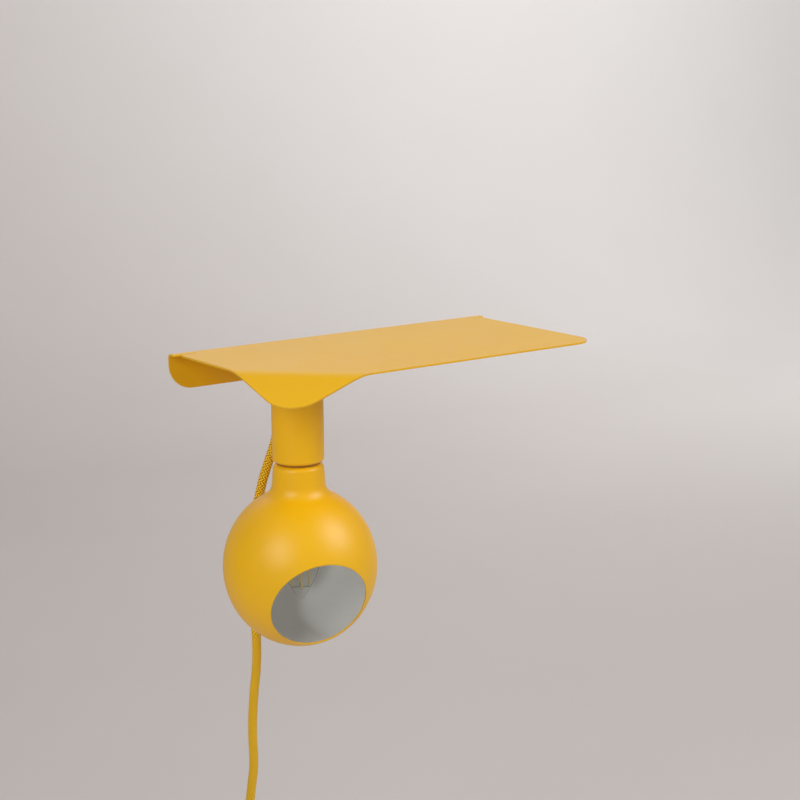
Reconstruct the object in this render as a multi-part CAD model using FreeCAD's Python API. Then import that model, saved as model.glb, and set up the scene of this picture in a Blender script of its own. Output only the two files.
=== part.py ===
"""Wall lamp with shelf: a bent sheet-steel shelf with a magnet-held lamp under its folded corner.

Millimetres. X runs along the wall, Y into the wall, Z up. The origin is the middle of the two wall
screw holes, on the back face of the shelf's flange.
"""
import FreeCAD, Part
import math
import os

V = FreeCAD.Vector
UP = V(0, 0, 1)
DOWN = V(0, 0, -1)

# ---------------------------------------------------------------- driving dimensions: shelf
shelf_length = 300.0
shelf_depth = 160.0
sheet = 1.5
flange_depth = 29.0
flange_ear = 4.5            # the flange stands this far past each end of the shelf
flange_corner = 20.0
flange_bend = 1.5           # inner radius of the bend at the wall
front_corner = 22.0
folded_corner = 26.0
slit_setback = 8.5          # wall to relief slit
slit_width = 1.8
slit_length = 15.0
slit_mouth = 4.0            # rounded corner of the shelf beside the slit
fold_leg = 69.0             # the fold meets both edges this far from the corner
fold_angle = 31.0
fold_radius = 20.0
hole_spacing = 180.0
hole_diameter = 5.0
hole_drop = 15.0            # top of the shelf to the wall screws

# ---------------------------------------------------------------- driving dimensions: lamp body
lamp_inset = 59.0           # left end of the shelf to the lamp's axis
lamp_out = 85.0             # wall to the lamp's axis
cup_radius = 20.0
cup_height = 76.0
cup_wall = 1.5
cup_edge = 2.5
pad_thickness = 0.6
pot_radius = 17.5
pot_height = 8.0
pot_wall = 1.8
magnet_bore = 8.0
bridge_thickness = 3.0
screw_radius = 2.0
screw_head = 4.0
cap_radius = 16.0
cap_height = 18.0
cap_wall = 1.6
holder_flange = 16.8
holder_flange_thickness = 2.5
holder_collar = 8.0
holder_thread = 14.0
holder_length = 39.5
block_radius = 11.5
block_height = 15.0
shell_radius = 7.3          # inside of the E14 threaded shell
shell_wall = 0.5
shell_length = 23.0
shell_lip = 1.0
shell_collar = 2.0          # plain length above and below the thread
shell_turns = 6
shell_knuckle = 0.35        # height of the round thread
shell_recess = 2.0          # rim of the sleeve to the shell
contact_width = 3.0
contact_strip = 0.5
contact_reach = 7.0
rivet_radius = 1.0
rivet_length = 3.0
terminal_offset = 7.0
terminal_radius = 1.5
terminal_length = 6.0
terminal_head = 2.7
terminal_head_height = 1.8
terminal_slot = 0.7
wire_radius = 1.1
wire_offset = 1.7
wire_bend = 6.0
wire_depth = 3.5            # the cores go this far into the block
spacer_thickness = 1.8
spacer_radius = 17.0
bush_radius = 5.0
bush_wall = 0.9             # round the cord at the end of the bush
bush_flange = 7.5
bush_drop = 46.0            # top of the cup to the bush
bush_angle = 50.0           # the bush points this far below level
bush_reach = 8.5
nut_radius = 7.0
nut_thickness = 4.0

# ---------------------------------------------------------------- driving dimensions: shade and bulb
shade_radius = 60.0
shade_half_height = 63.0
shade_wall = 1.2
shade_drop = 81.9           # top of the neck to the middle of the globe
neck_radius = 19.8
neck_flare = 0.9
neck_shoulder = 4.0
neck_sweep = 6.0            # how far the neck sweeps out into the globe
neck_fall = 9.0             # height of that sweep
mouth_radius = 37.8
mouth_turn = -104.4         # heading of the mouth, measured from +X
mouth_dip = 23.1            # the mouth looks this far below level
ring_radius = 17.3
ring_height = 6.0
ring_notches = 12
notch_radius = 1.2
notch_end = 1.5             # the notches stop this far below the top of the ring
bulb_radius = 17.5
bulb_length = 98.0
bulb_cap_radius = 6.9
bulb_cap_length = 21.0
bulb_wall = 0.8
tip_radius = 2.4
tip_height = 2.5
stem_length = 18.0
stem_radius = 2.6
filament_count = 4
filament_radius = 0.8
filament_length = 38.0
filament_circle = 6.6
filament_turn = -26.5       # heading of the first filament, measured from +X
filament_end = 13.0         # lower ends of the filaments above the bulb's tip
support_radius = 0.35

# ---------------------------------------------------------------- driving dimensions: cord, switch, plug
cord_diameter = 7.4
coil_outer = 51.5           # radius of the outermost turn's centre line
coil_pitch = 8.0            # turn to turn, and layer to layer
coil_turns = 6              # both layers together
coil_start = 150.0          # the lead joins the coil at its upper left
tie_width = 12.0
tie_thickness = 1.2
switch_length = 58.0
switch_width = 24.0
switch_depth = 17.0
switch_edge = 5.0
switch_wall = 2.0
cover_edge = 1.8
grip_length = 12.0          # of cord inside each end of the switch
post_radius = 2.6
switch_screw = 1.1
switch_screw_length = 12.0
rocker_length = 20.0
rocker_width = 10.0
rocker_rise = 2.0           # the rocker's ends stand this far past the cover
rocker_dish = 1.3
rocker_play = 0.5
rocker_heel = 3.0
rocker_tilt = 10.0
pivot_depth = 3.6           # face of the switch to the rocker's axle
axle_radius = 1.0
ear_thickness = 2.0
ear_depth = 3.2
plug_width = 35.3
plug_depth = 13.7
plug_length = 36.0
plug_edge = 4.5
plug_neck = 11.0            # width and depth where the cord goes in
plug_waist_width = 16.0
plug_waist_depth = 12.5
plug_waist = 10.0           # end of the plug to its waist
plug_shoulder = 24.0        # end of the plug to its full width
pin_radius = 2.0
pin_length = 19.0
pin_root = 9.0              # length of a pin inside the body
pin_spacing = 19.0
pin_edge = 1.2
sleeve_length = 10.0
sleeve_wall = 0.5

# ---------------------------------------------------------------- named clearances
slack = 0.1                 # between pieces that are pressed, snapped or screwed together
running = 0.05              # radial, between pieces that turn on each other
free_gap = 0.3              # between pieces that only lie beside each other

# ---------------------------------------------------------------- levels and places
shelf_top = hole_drop
shelf_under = shelf_top - sheet
half_length = shelf_length / 2
axis_x = lamp_inset - half_length
axis_y = -lamp_out
cup_top = shelf_under - pad_thickness
cup_floor = cup_top - cup_height
pot_floor = cup_top - pot_height
bridge_floor = pot_floor - bridge_thickness
flange_floor = cup_floor + cup_wall
cap_floor = flange_floor + holder_flange_thickness
holder_floor = flange_floor - holder_length
block_floor = holder_floor + shell_length + shell_recess
block_top = block_floor + block_height
neck_top = cup_floor - spacer_thickness
globe_z = neck_top - shade_drop
bulb_top = block_floor - tip_height
bulb_bottom = bulb_top - bulb_length
bush_z = cup_top - bush_drop
bush_y = axis_y + cup_radius
bush_way = V(0, math.cos(math.radians(bush_angle)), -math.sin(math.radians(bush_angle)))
bush_end = V(axis_x, bush_y, bush_z) + bush_way * bush_reach

# Route of the cord from the bush to the switch, behind the shade and down the wall.
cord_route = [
    V(-91.0, -53.7, -46.6),
    V(-90.6, -45.6, -58.0),
    V(-91.2, -39.4, -73.0),
    V(-92.1, -33.6, -89.0),
    V(-93.1, -28.4, -106.0),
    V(-93.9, -22.0, -124.0),
    V(-94.5, -18.8, -144.0),
    V(-95.1, -17.8, -166.0),
    V(-95.6, -20.4, -190.0),
    V(-95.4, -23.6, -216.0),
    V(-95.6, -24.4, -244.0),
    V(-97.8, -20.6, -276.0),
    V(-98.7, -18.6, -308.0),
    V(-97.1, -18.4, -336.0),
    V(-100.0, -16.0, -362.0),
]
switch_top = V(-102.0, -15.2, -384.0)
switch_bottom = switch_top - V(0, 0, switch_length)
lead_route = [
    V(-102.4, -15.1, -456.0),
    V(-106.6, -14.4, -470.0),
    V(-113.8, -13.6, -484.0),
    V(-122.2, -12.9, -499.1),
]
tail_route = [
    V(-145.0, -20.9, -538.7),
    V(-151.6, -19.6, -552.6),
    V(-155.4, -18.4, -568.4),
]
plug_top = V(-155.4, -18.4, -584.4)
coil_middle = V(-89.0, -16.9, -545.75)


def at(x, z, y=0.0):
    """Point at radius x and height z in the lamp's own half plane."""
    return V(axis_x + x, axis_y + y, z)


def cylinder(radius, low, high, x=0.0, y=0.0):
    """Upright cylinder between two levels, placed from the lamp's axis."""
    return Part.makeCylinder(radius, high - low, at(x, low, y), UP)


def ring(outer, inner, low, high):
    """Upright tube between two levels on the lamp's axis."""
    return cylinder(outer, low, high).cut(cylinder(inner, low, high))


def segment(a, b):
    return Part.LineSegment(a, b).toShape()


def arc(a, middle, b):
    return Part.Arc(a, middle, b).toShape()


def round_corner(start, corner, end, radius):
    """Arc that rounds a square corner between two directions, as (first point, edge, last point)."""
    to_start = (start - corner).normalize()
    to_end = (end - corner).normalize()
    first = corner + to_start * radius
    last = corner + to_end * radius
    centre = first + to_end * radius
    middle = centre + (corner - centre).normalize() * radius
    return first, arc(first, middle, last), last


def outline(points, radii):
    """Closed face through the points, each corner rounded by its radius (0 keeps it sharp)."""
    count = len(points)
    starts = []
    corners = []
    ends = []
    for i in range(count):
        if radii[i] > 0:
            first, edge, last = round_corner(points[i - 1], points[i], points[(i + 1) % count], radii[i])
            starts.append(first)
            corners.append(edge)
            ends.append(last)
        else:
            starts.append(points[i])
            corners.append(None)
            ends.append(points[i])
    edges = []
    for i in range(count):
        if corners[i] is not None:
            edges.append(corners[i])
        edges.append(segment(ends[i], starts[(i + 1) % count]))
    return Part.Face(Part.Wire(edges))


def turned(edges):
    """Solid turned about the lamp's axis from a closed half outline."""
    return Part.Face(Part.Wire(edges)).revolve(at(0, 0), UP, 360)


def turned_steps(steps):
    """Solid turned about the lamp's axis from (radius, height) corners."""
    points = [at(r, z) for r, z in steps]
    return turned([segment(p, points[(i + 1) % len(points)]) for i, p in enumerate(points)])


def half_space(point, outward, size=150.0):
    """Big block that begins at a plane through the point and lies on its outward side."""
    block = Part.makeBox(size, size, size, V(-size / 2, -size / 2, 0))
    block.Placement = FreeCAD.Placement(point, FreeCAD.Rotation(UP, outward))
    return block


# ---------------------------------------------------------------- shelf
def make_flange():
    """Back flange and the strip that joins it to the shelf, bent over at the wall."""
    outer_bend = flange_bend + sheet
    low = shelf_top - flange_depth
    lean = math.sqrt(0.5)
    x = -half_length - flange_ear
    outer_centre = (-outer_bend, shelf_top - outer_bend)
    p = [V(x, 0, low),
         V(x, 0, shelf_top - outer_bend),
         V(x, outer_centre[0] + outer_bend * lean, outer_centre[1] + outer_bend * lean),
         V(x, -outer_bend, shelf_top),
         V(x, -slit_setback, shelf_top),
         V(x, -slit_setback, shelf_under),
         V(x, -outer_bend, shelf_under),
         V(x, outer_centre[0] + flange_bend * lean, outer_centre[1] + flange_bend * lean),
         V(x, -sheet, shelf_top - outer_bend),
         V(x, -sheet, low)]
    edges = [segment(p[0], p[1]), arc(p[1], p[2], p[3]), segment(p[3], p[4]), segment(p[4], p[5]),
             segment(p[5], p[6]), arc(p[6], p[7], p[8]), segment(p[8], p[9]), segment(p[9], p[0])]
    width = shelf_length + 2 * flange_ear
    high = shelf_top + sheet
    bent = Part.Face(Part.Wire(edges)).extrude(V(width, 0, 0))
    face = outline([V(x, sheet, low), V(x + width, sheet, low),
                    V(x + width, sheet, high), V(x, sheet, high)], [flange_corner, flange_corner, 0, 0])
    flange = bent.common(face.extrude(V(0, -slit_setback - 2 * sheet, 0)))
    for side in (-1, 1):
        start = V(side * hole_spacing / 2, sheet, 0)
        flange = flange.cut(Part.makeCylinder(hole_diameter / 2, 3 * sheet, start, V(0, -1, 0)))
    return flange


def make_shelf():
    """Whole bent sheet: flange, flat shelf, rolled fold and the corner turned down."""
    bend = math.radians(fold_angle)
    setback = fold_radius * math.tan(bend / 2)
    along_edge = setback * math.sqrt(2)
    left = V(-half_length, fold_leg - shelf_depth, shelf_top)
    front = V(fold_leg - half_length, -shelf_depth, shelf_top)
    corner = V(-half_length, -shelf_depth, shelf_top)
    fold_way = (front - left).normalize()
    out_way = V(-1, -1, 0).normalize()
    slit_front = -slit_setback - slit_width
    slit_end = half_length - slit_length
    down = V(0, 0, -sheet)

    flat = outline(
        [V(-slit_end, -slit_setback, shelf_top), V(slit_end, -slit_setback, shelf_top),
         V(slit_end, slit_front, shelf_top), V(half_length, slit_front, shelf_top),
         V(half_length, -shelf_depth, shelf_top), front + V(along_edge, 0, 0),
         left + V(0, along_edge, 0), V(-half_length, slit_front, shelf_top),
         V(-slit_end, slit_front, shelf_top)],
        [0, 0, 0, slit_mouth, front_corner, 0, 0, slit_mouth, 0]).extrude(down)

    flap = outline(
        [left + V(0, -along_edge, 0), corner, front + V(-along_edge, 0, 0)],
        [0, folded_corner, 0]).extrude(down)
    flap.rotate(left, fold_way, fold_angle)

    reach = fold_leg / math.sqrt(2) + 2 * setback
    middle = (left + front) * 0.5 - out_way * setback
    a = middle - fold_way * reach
    b = middle + fold_way * reach
    strip = Part.Face(Part.Wire([segment(a, b), segment(b, b + down), segment(b + down, a + down),
                                 segment(a + down, a)]))
    roll = strip.revolve(middle - V(0, 0, fold_radius), fold_way, fold_angle)
    lowered = out_way * math.cos(bend) - UP * math.sin(bend)
    for end, edge_way, side in ((left, V(0, -1, 0), -1), (front, V(-1, 0, 0), 1)):
        folded_edge = fold_way * edge_way.dot(fold_way) + lowered * edge_way.dot(out_way)
        outward = edge_way.cross(folded_edge)
        if outward.dot(fold_way) * side < 0:
            outward = outward * -1
        roll = roll.cut(half_space(end, outward))
    return make_flange().fuse([flat, roll, flap]).removeSplitter()


# ---------------------------------------------------------------- lamp body
def make_cup():
    """Drawn steel cup: open top, closed floor with the hole for the lampholder."""
    r = cup_radius
    w = cup_wall
    inner_edge = cup_edge - w
    lean = math.sqrt(0.5)
    edge_z = cup_floor + cup_edge
    hole = holder_thread + free_gap
    p = [at(hole, cup_floor), at(r - cup_edge, cup_floor),
         at(r - cup_edge + cup_edge * lean, edge_z - cup_edge * lean), at(r, edge_z),
         at(r, cup_top), at(r - w, cup_top), at(r - w, edge_z),
         at(r - cup_edge + inner_edge * lean, edge_z - inner_edge * lean),
         at(r - cup_edge, cup_floor + w), at(hole, cup_floor + w)]
    cup = turned([segment(p[0], p[1]), arc(p[1], p[2], p[3]), segment(p[3], p[4]), segment(p[4], p[5]),
                  segment(p[5], p[6]), arc(p[6], p[7], p[8]), segment(p[8], p[9]), segment(p[9], p[0])])
    side_hole = Part.makeCylinder(bush_radius + slack, cup_radius, V(axis_x, axis_y, bush_z), V(0, 1, 0))
    return cup.cut(side_hole)


def make_magnet_pad():
    return cylinder(pot_radius, cup_top + slack / 2, shelf_under - slack / 2)


def make_magnet_pot():
    """Steel pot, open upwards, with a countersunk hole for its screw."""
    pot = cylinder(pot_radius, pot_floor, cup_top)
    pot = pot.cut(cylinder(pot_radius - pot_wall, pot_floor + pot_wall, cup_top))
    return pot.cut(cylinder(screw_radius + slack, pot_floor, cup_top))


def make_ring_magnet():
    return ring(pot_radius - pot_wall - slack, magnet_bore, pot_floor + pot_wall, cup_top - slack)


def make_magnet_screw():
    """Pan-head screw up the middle of the magnet, into the bridge."""
    head_low = pot_floor + pot_wall
    shank = cylinder(screw_radius, bridge_floor - 2.0, head_low)
    head = cylinder(screw_head, head_low, head_low + 2.4)
    slot = Part.makeBox(2 * screw_head, 1.0, 1.2, at(-screw_head, head_low + 1.2, -0.5))
    return shank.fuse(head).cut(slot).removeSplitter()


def make_bridge():
    """Turned disc pressed into the cup, tapped for the magnet's screw."""
    disc = cylinder(cup_radius - cup_wall - slack, bridge_floor, pot_floor)
    disc = disc.cut(cylinder(screw_radius + running, bridge_floor, pot_floor))
    boss = ring(screw_radius + 2.5, screw_radius + running, bridge_floor - 2.0, bridge_floor)
    return disc.fuse(boss).removeSplitter()


def make_cord_bush():
    """Moulded bush through the cup's back, with a tapered spout that points down and out."""
    level = V(0, 1, 0)
    middle = V(axis_x, bush_y, bush_z)
    depth = cup_wall + nut_thickness
    shank = Part.makeCylinder(bush_radius, depth, middle - level * depth, level)
    flange = Part.makeCylinder(bush_flange, 2 * cup_wall, middle - level * cup_wall, level)
    spout = Part.makeCone(bush_radius + 0.8, cord_diameter / 2 + bush_wall, bush_reach, middle, bush_way)
    body = cylinder(cup_radius + slack, bush_z - 2 * bush_flange, bush_z + 2 * bush_flange)
    outside = flange.fuse(spout).cut(body)
    return outside.fuse(shank).removeSplitter()


def make_bush_nut():
    """Nut that clamps the bush from inside; its face follows the round wall."""
    start = V(axis_x, bush_y - cup_wall - nut_thickness, bush_z)
    nut = Part.makeCylinder(nut_radius, nut_thickness, start, V(0, 1, 0))
    nut = nut.cut(Part.makeCylinder(bush_radius + running, nut_thickness, start, V(0, 1, 0)))
    inside = cylinder(cup_radius - cup_wall - slack, bush_z - 2 * nut_radius, bush_z + 2 * nut_radius)
    return nut.common(inside)


def make_holder_body():
    """Lower half of the lampholder: flange on the cup's floor and a long threaded sleeve."""
    bore = block_radius + slack
    body = cylinder(holder_flange, flange_floor, cap_floor)
    body = body.fuse(cylinder(holder_thread, holder_floor, cap_floor + holder_collar))
    body = body.cut(cylinder(bore, block_floor, cap_floor + holder_collar))
    body = body.cut(cylinder(shell_radius + shell_wall + shell_lip, holder_floor, block_floor))
    rim = ring(holder_thread, holder_thread - 0.6, holder_floor, holder_floor + 1.0)
    return body.cut(rim).removeSplitter()


def make_holder_cap():
    """Upper half of the lampholder: a domed cap with the hole for the two cores."""
    top = cap_floor + cap_height
    dome = cylinder(cap_radius, cap_floor, top)
    edges = [e for e in dome.Edges if abs(e.BoundBox.ZMin - top) < 0.01 and e.BoundBox.ZLength < 0.01]
    dome = dome.makeFillet(4.0, edges)
    hollow = cylinder(holder_thread + slack, cap_floor, cap_floor + holder_collar + slack)
    hollow = hollow.fuse(cylinder(cap_radius - cap_wall - 1.0, cap_floor, top - cap_wall - 1.0))
    entry = cylinder(2 * wire_radius + 1.8, top - cap_wall - 2.0, top)
    return dome.cut(hollow).cut(entry)


def make_contact_block():
    """Insulating block that carries the shell, the contact and the two terminals."""
    block = cylinder(block_radius, block_floor, block_top)
    screw_end = block_top - terminal_length - slack
    wire_end = block_top - wire_depth - slack
    for side in (-1, 1):
        block = block.cut(cylinder(terminal_radius + slack, screw_end, block_top, side * terminal_offset))
        block = block.cut(cylinder(wire_radius + slack, wire_end, block_top, side * wire_offset))
    return block.cut(cylinder(rivet_radius + slack, block_floor, block_floor + rivet_length))


def make_screw_shell():
    """Brass shell with the round knuckle thread of an E14 lampholder."""
    top = block_floor
    low = top - shell_length
    start = top - shell_collar
    foot = low + shell_collar
    pitch = (start - foot) / shell_turns
    inner = shell_radius
    outer = shell_radius + shell_wall
    lip = outer + shell_lip
    edges = [segment(at(inner, start), at(inner, top)), segment(at(inner, top), at(lip, top)),
             segment(at(lip, top), at(lip, top - shell_wall)),
             segment(at(lip, top - shell_wall), at(outer, top - shell_wall)),
             segment(at(outer, top - shell_wall), at(outer, start))]
    for i in range(shell_turns):
        z = start - i * pitch
        edges.append(arc(at(outer, z), at(outer + shell_knuckle, z - pitch / 2), at(outer, z - pitch)))
    edges += [segment(at(outer, foot), at(outer, low)), segment(at(outer, low), at(inner, low)),
              segment(at(inner, low), at(inner, foot))]
    for i in range(shell_turns):
        z = foot + i * pitch
        edges.append(arc(at(inner, z), at(inner + shell_knuckle, z + pitch / 2), at(inner, z + pitch)))
    return turned(edges)


def make_centre_contact():
    """Spring tongue that presses on the bulb's tip."""
    wide = contact_width
    strip = contact_strip
    lip_z = bulb_top + slack / 2
    rivet = cylinder(rivet_radius, block_floor, block_floor + rivet_length)
    tongue = Part.makeBox(contact_reach, wide, strip, at(-wide / 2, block_floor - strip, -wide / 2))
    lip = Part.makeBox(wide, wide, strip, at(-wide / 2, lip_z, -wide / 2))
    post = Part.makeBox(strip, wide, tip_height - slack / 2, at(-wide / 2, lip_z, -wide / 2))
    return rivet.fuse([tongue, lip, post]).removeSplitter()


def make_terminal_screws():
    screws = []
    head_top = block_top + terminal_head_height
    slot_depth = terminal_head_height / 2
    for side in (-1, 1):
        x = side * terminal_offset
        screw = cylinder(terminal_radius, block_top - terminal_length, block_top, x)
        screw = screw.fuse(cylinder(terminal_head, block_top, head_top, x))
        slot = Part.makeBox(3 * terminal_head, terminal_slot, slot_depth,
                            at(x - 1.5 * terminal_head, head_top - slot_depth, -terminal_slot / 2))
        screws.append(screw.cut(slot).removeSplitter())
    return Part.makeCompound(screws)


def make_core_wires():
    """Two insulated cores from the bush, over and down into the lampholder's block."""
    wires = []
    start_y = bush_y - cup_wall - nut_thickness - free_gap
    for side in (-1, 1):
        x = axis_x + side * wire_offset
        a = V(x, start_y, bush_z)
        b = V(x, axis_y + wire_bend, bush_z)
        c = V(x, axis_y, bush_z - wire_bend)
        d = V(x, axis_y, block_top - wire_depth)
        lean = wire_bend * (1 - math.sqrt(0.5))
        bend = arc(b, V(x, axis_y + lean, bush_z - lean), c)
        path = Part.Wire([segment(a, b), bend, segment(c, d)])
        ring_edge = Part.Wire(Part.makeCircle(wire_radius, a, V(0, -1, 0)))
        wires.append(path.makePipeShell([ring_edge], True, False))
    return Part.makeCompound(wires)


def make_spacer():
    return ring(spacer_radius, holder_thread + slack, neck_top + slack, cup_floor)


# ---------------------------------------------------------------- shade
def globe_edges(inset):
    """Half outline of the shade, drawn in by the inset: neck, sweep and the oval globe."""
    r = shade_radius - inset
    h = shade_half_height - inset
    neck = neck_radius - inset
    wide = neck + neck_flare
    top = neck_top - inset
    shoulder = neck_shoulder - inset
    lean = math.sqrt(0.5)
    foot_r = wide + neck_sweep
    foot_z = globe_z + h * math.sqrt(1 - (foot_r / r) ** 2)
    neck_low = foot_z + neck_fall + inset / 2
    slope = V(foot_r / r ** 2, 0, (foot_z - globe_z) / h ** 2)
    foot_way = V(slope.z, 0, -slope.x).normalize()
    neck_way = V(neck_flare, 0, neck_low - (top - shoulder)).normalize()
    a = at(0, top)
    b = at(neck - shoulder, top)
    c = at(neck - shoulder + shoulder * lean, top - shoulder + shoulder * lean)
    d = at(neck, top - shoulder)
    e = at(wide, neck_low)
    f = at(foot_r, foot_z)
    sweep = Part.BezierCurve()
    sweep.setPoles([e, e + neck_way * neck_sweep * 0.6, f - foot_way * neck_sweep * 0.6, f])
    oval = Part.Ellipse(at(0, globe_z + h), at(r, globe_z), at(0, globe_z))
    bottom = at(0, globe_z - h)
    low, high = sorted((oval.parameter(f), oval.parameter(bottom)))
    return [segment(a, b), arc(b, c, d), segment(d, e), sweep.toShape(),
            Part.ArcOfEllipse(oval, low, high).toShape(), segment(bottom, a)]


def make_shade():
    """Spun steel globe with a short neck and one round mouth cut low in its front."""
    skin = turned(globe_edges(0.0)).cut(turned(globe_edges(shade_wall)))
    turn = math.radians(mouth_turn)
    dip = math.radians(mouth_dip)
    way = V(math.cos(turn) * math.cos(dip), math.sin(turn) * math.cos(dip), -math.sin(dip))
    mouth = Part.makeCylinder(mouth_radius, 2 * shade_radius, at(0, globe_z), way)
    hole = cylinder(holder_thread + running, neck_top - 2 * shade_wall, neck_top + 1.0)
    return skin.cut(mouth).cut(hole)


def make_shade_ring():
    """Notched ring nut that holds the shade's neck up against the cup."""
    high = neck_top - shade_wall - slack
    bore = holder_thread + running
    chamfer = neck_shoulder / 2
    nut = turned_steps([(bore, high), (ring_radius - chamfer, high), (ring_radius, high - chamfer),
                        (ring_radius, high - ring_height), (bore, high - ring_height)])
    for i in range(ring_notches):
        turn = 2 * math.pi * i / ring_notches
        x = ring_radius * math.cos(turn)
        y = ring_radius * math.sin(turn)
        nut = nut.cut(cylinder(notch_radius, high - ring_height, high - notch_end, x, y))
    return nut


# ---------------------------------------------------------------- bulb
def make_bulb_cap():
    """Threaded metal cap of the bulb, with its black foot cut back for the tip."""
    top = bulb_top - tip_height
    low = top - bulb_cap_length
    turns = 5
    pitch = (bulb_cap_length - 5.0) / turns
    r = bulb_cap_radius
    edges = [segment(at(0, top), at(r - 1.5, top)), segment(at(r - 1.5, top), at(r - 0.4, top - 1.5))]
    for i in range(turns):
        z = top - 1.5 - i * pitch
        edges.append(arc(at(r - 0.4, z), at(r, z - pitch / 2), at(r - 0.4, z - pitch)))
    foot = top - 1.5 - turns * pitch
    edges += [segment(at(r - 0.4, foot), at(r + 0.3, low)), segment(at(r + 0.3, low), at(0, low)),
              segment(at(0, low), at(0, top))]
    return turned(edges)


def make_bulb_tip():
    """Black glass foot and the solder contact at the top of the bulb."""
    top = bulb_top
    low = bulb_top - tip_height
    return turned_steps([(0, low), (bulb_cap_radius - 1.6, low), (tip_radius, top - 0.8),
                         (tip_radius - 0.6, top), (0, top)])


def candle_edges(inset):
    """Half outline of the candle bulb's glass, from the cap to the point, drawn in by the inset."""
    start = bulb_top - tip_height - bulb_cap_length
    span = start - bulb_bottom - inset
    r = bulb_radius - inset
    neck = bulb_cap_radius + 0.3 - inset
    widest = at(r, start - 0.42 * span)
    shoulder = Part.BezierCurve()
    shoulder.setPoles([at(neck, start), at(neck, start - 0.16 * span), at(r, start - 0.20 * span), widest])
    point = Part.BezierCurve()
    point.setPoles([widest, at(r, start - 0.72 * span), at(0.30 * r, start - 0.88 * span),
                    at(0.12 * r, start - 0.985 * span), at(0, start - span)])
    return [segment(at(0, start), at(neck, start)), shoulder.toShape(), point.toShape(),
            segment(at(0, start - span), at(0, start))]


def make_bulb_glass():
    return turned(candle_edges(0.0)).cut(turned(candle_edges(bulb_wall)))


def make_bulb_stem():
    """Glass stem inside the neck, flared where it is sealed to the cap."""
    start = bulb_top - tip_height - bulb_cap_length
    end = start - stem_length
    return turned_steps([(0, start), (bulb_cap_radius - 1.4, start),
                         (stem_radius, start - 0.4 * stem_length), (stem_radius, end + 1.0),
                         (stem_radius - 1.0, end), (0, end)])


def filament_places():
    """Corners of the filament cage round the lamp's axis."""
    places = []
    for i in range(filament_count):
        turn = math.radians(filament_turn + 360.0 * i / filament_count)
        places.append((filament_circle * math.cos(turn), filament_circle * math.sin(turn)))
    return places


def make_filaments():
    low = bulb_bottom + filament_end
    high = low + filament_length
    return Part.makeCompound([cylinder(filament_radius, low, high, x, y) for x, y in filament_places()])


def make_filament_frame():
    """Thin wires that hold the filaments: a post and a short arm at each end."""
    low = bulb_bottom + filament_end - 1.5
    high = bulb_bottom + filament_end + filament_length
    stem_end = bulb_top - tip_height - bulb_cap_length - stem_length
    frame = cylinder(support_radius, low, stem_end)
    for x, y in filament_places():
        for z in (low + 0.4, high + 1.0):
            arm = Part.makeCylinder(support_radius, filament_circle, at(0, z), V(x, y, 0))
            foot = cylinder(support_radius, min(z, high), max(z, low + 1.5), x, y)
            frame = frame.fuse([arm, foot])
    return frame.removeSplitter()


# ---------------------------------------------------------------- cord
def rounded_path(points):
    """Straight runs joined by arcs as large as their runs allow; returns the wire and least radius."""
    edges = []
    least = 1e9
    here = points[0]
    for i in range(1, len(points) - 1):
        before = points[i - 1] - points[i]
        after = points[i + 1] - points[i]
        turn = math.pi - before.getAngle(after)
        cut = 0.45 * min(before.Length, after.Length)
        radius = cut / math.tan(turn / 2)
        least = min(least, radius)
        before.normalize()
        after.normalize()
        first = points[i] + before * cut
        last = points[i] + after * cut
        inward = (before + after).normalize()
        middle = points[i] + inward * (radius / math.cos(turn / 2) - radius)
        edges.append(segment(here, first))
        edges.append(arc(first, middle, last))
        here = last
    edges.append(segment(here, points[-1]))
    return Part.Wire(edges), least


def make_cord(name, points):
    path, least = rounded_path(points)
    section = Part.Wire(Part.makeCircle(cord_diameter / 2, points[0], points[1] - points[0]))
    tube = path.makePipeShell([section], True, False)
    expected = math.pi * (cord_diameter / 2) ** 2 * path.Length
    print(f"{name}: length {path.Length:.1f}, least radius {least:.1f}, "
          f"volume {tube.Volume:.0f} of {expected:.0f}")
    return tube, path.Length


def coil_point(turn):
    """Centre line of the coil after so many turns: from its upper left in along the layer at the wall,
    across to the front layer beside its innermost turn, and out again."""
    inward = abs(turn - coil_turns / 2)
    eased = math.sqrt(inward ** 2 + 0.01)
    radius = coil_outer - coil_pitch * (coil_turns / 2 - eased)
    angle = math.radians(coil_start + 360.0 * turn)
    cross = max(-1.0, min(1.0, (turn - coil_turns / 2) / 0.25))
    layer = 0.5 * coil_pitch * math.sin(math.pi / 2 * cross)
    return coil_middle + V(radius * math.cos(angle), -layer, radius * math.sin(angle))


def coil_way(turn):
    step = 1e-4
    return (coil_point(turn + step) - coil_point(turn - step)).normalize()


def biarc(a, a_way, b, b_way):
    """Two arcs that leave a and reach b in the given directions."""
    chord = b - a
    ways = a_way + b_way
    k = 2 * (1 - a_way.dot(b_way))
    m = chord.dot(ways)
    reach = (-m + math.sqrt(m * m + k * chord.dot(chord))) / k
    p = a + a_way * reach
    q = b - b_way * reach
    join = (p + q) * 0.5
    return [tangent_arc(a, a_way, join), tangent_arc(b, b_way * -1, join)]


def tangent_arc(start, way, end):
    """Arc from start, leaving in the given direction, to end."""
    chord = end - start
    side = (chord - way * chord.dot(way)).normalize()
    radius = chord.dot(chord) / (2 * chord.dot(side))
    centre = start + side * radius
    middle = centre + ((start + end) * 0.5 - centre).normalize() * radius
    return arc(start, middle, end)


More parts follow.
